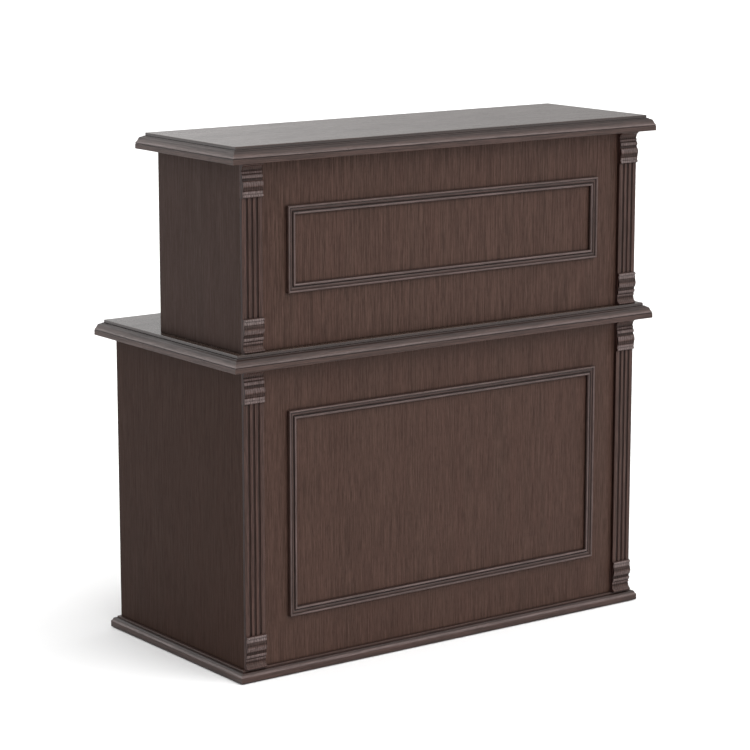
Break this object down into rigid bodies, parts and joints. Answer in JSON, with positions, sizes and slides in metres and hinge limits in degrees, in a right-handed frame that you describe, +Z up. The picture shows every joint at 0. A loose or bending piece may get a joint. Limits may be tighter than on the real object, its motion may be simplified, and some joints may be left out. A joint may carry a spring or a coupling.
{
  "type": "book return counter",
  "caption": "Two-tier wooden library counter with moulded tops, fluted pilasters and framed front, an open shelf niche and a lockable two-door cupboard at the back for returned books.",
  "frame": {"origin": "on the floor, under the middle of the bounding box", "axes": "+X to the right as seen from the public front, +Y from the front to the staff side, +Z up"},
  "size_m": [1.2, 0.596, 1.1925],
  "materials": {
    "panel_wood": "satin dark stained veneer, fine straight grain",
    "moulding_wood": "satin dark stained solid wood, grain along the length",
    "top_wood": "semi-gloss dark lacquer over fine straight grain",
    "aged_brass": "aged brass with darker hollows",
    "steel_fittings": "nickel-plated steel",
    "glide_plastic": "dark moulded plastic",
    "block_plastic": "brown moulded plastic"
  },
  "bodies": {
    "counter": {"base_board": "moulding_wood", "catch_magnets": "block_plastic", "corner_blocks": "block_plastic", "floor_glides": "glide_plastic", "left_hinge_case_leaves": "aged_brass", "left_hinge_pins": "aged_brass", "lock_strike": "steel_fittings", "lower_frame_bottom_rail": "moulding_wood", "lower_frame_left_stile": "moulding_wood", "lower_frame_right_stile": "moulding_wood", "lower_frame_top_rail": "moulding_wood", "lower_front_panel": "panel_wood", "lower_left_capital": "moulding_wood", "lower_left_pilaster": "moulding_wood", "lower_left_plinth_block": "moulding_wood", "lower_left_rail": "panel_wood", "lower_left_shelf": "panel_wood", "lower_left_side": "panel_wood", "lower_partition": "panel_wood", "lower_right_capital": "moulding_wood", "lower_right_pilaster": "moulding_wood", "lower_right_plinth_block": "moulding_wood", "lower_right_rail": "panel_wood", "lower_right_shelf": "panel_wood", "lower_right_side": "panel_wood", "right_hinge_case_leaves": "aged_brass", "right_hinge_pins": "aged_brass", "shelf_pins": "steel_fittings", "upper_frame_bottom_rail": "moulding_wood", "upper_frame_left_stile": "moulding_wood", "upper_frame_right_stile": "moulding_wood", "upper_frame_top_rail": "moulding_wood", "upper_front_panel": "panel_wood", "upper_left_capital": "moulding_wood", "upper_left_pilaster": "moulding_wood", "upper_left_plinth_block": "moulding_wood", "upper_left_shelf": "panel_wood", "upper_left_side": "panel_wood", "upper_partition": "panel_wood", "upper_right_capital": "moulding_wood", "upper_right_pilaster": "moulding_wood", "upper_right_plinth_block": "moulding_wood", "upper_right_shelf": "panel_wood", "upper_right_side": "panel_wood", "upper_top": "top_wood", "worktop": "top_wood"},
    "left_leaf": {"left_door": "panel_wood", "left_knob": "aged_brass", "left_hinge_door_leaves": "aged_brass", "left_catch_plate": "steel_fittings"},
    "right_leaf": {"right_door": "panel_wood", "right_knob": "aged_brass", "right_hinge_door_leaves": "aged_brass", "right_catch_plate": "steel_fittings", "lock_body": "steel_fittings"},
    "lock_core": {"lock_plug": "steel_fittings", "lock_cam": "steel_fittings", "lock_key": "steel_fittings"}
  },
  "joints": [
    {"name": "left_door_hinge", "type": "hinge", "parent": "counter", "child": "left_leaf", "pos_m": [-0.5425, 0.2685, 0.3665], "axis": [0, 0, 1], "range_deg": [0, 110]},
    {"name": "right_door_hinge", "type": "hinge", "parent": "counter", "child": "right_leaf", "pos_m": [0.5425, 0.2685, 0.3665], "axis": [0, 0, -1], "range_deg": [0, 110]},
    {"name": "lock_turn", "type": "hinge", "parent": "right_leaf", "child": "lock_core", "pos_m": [0.045, 0.2545, 0.41], "axis": [0, 1, 0], "range_deg": [0, 90]}
  ]
}
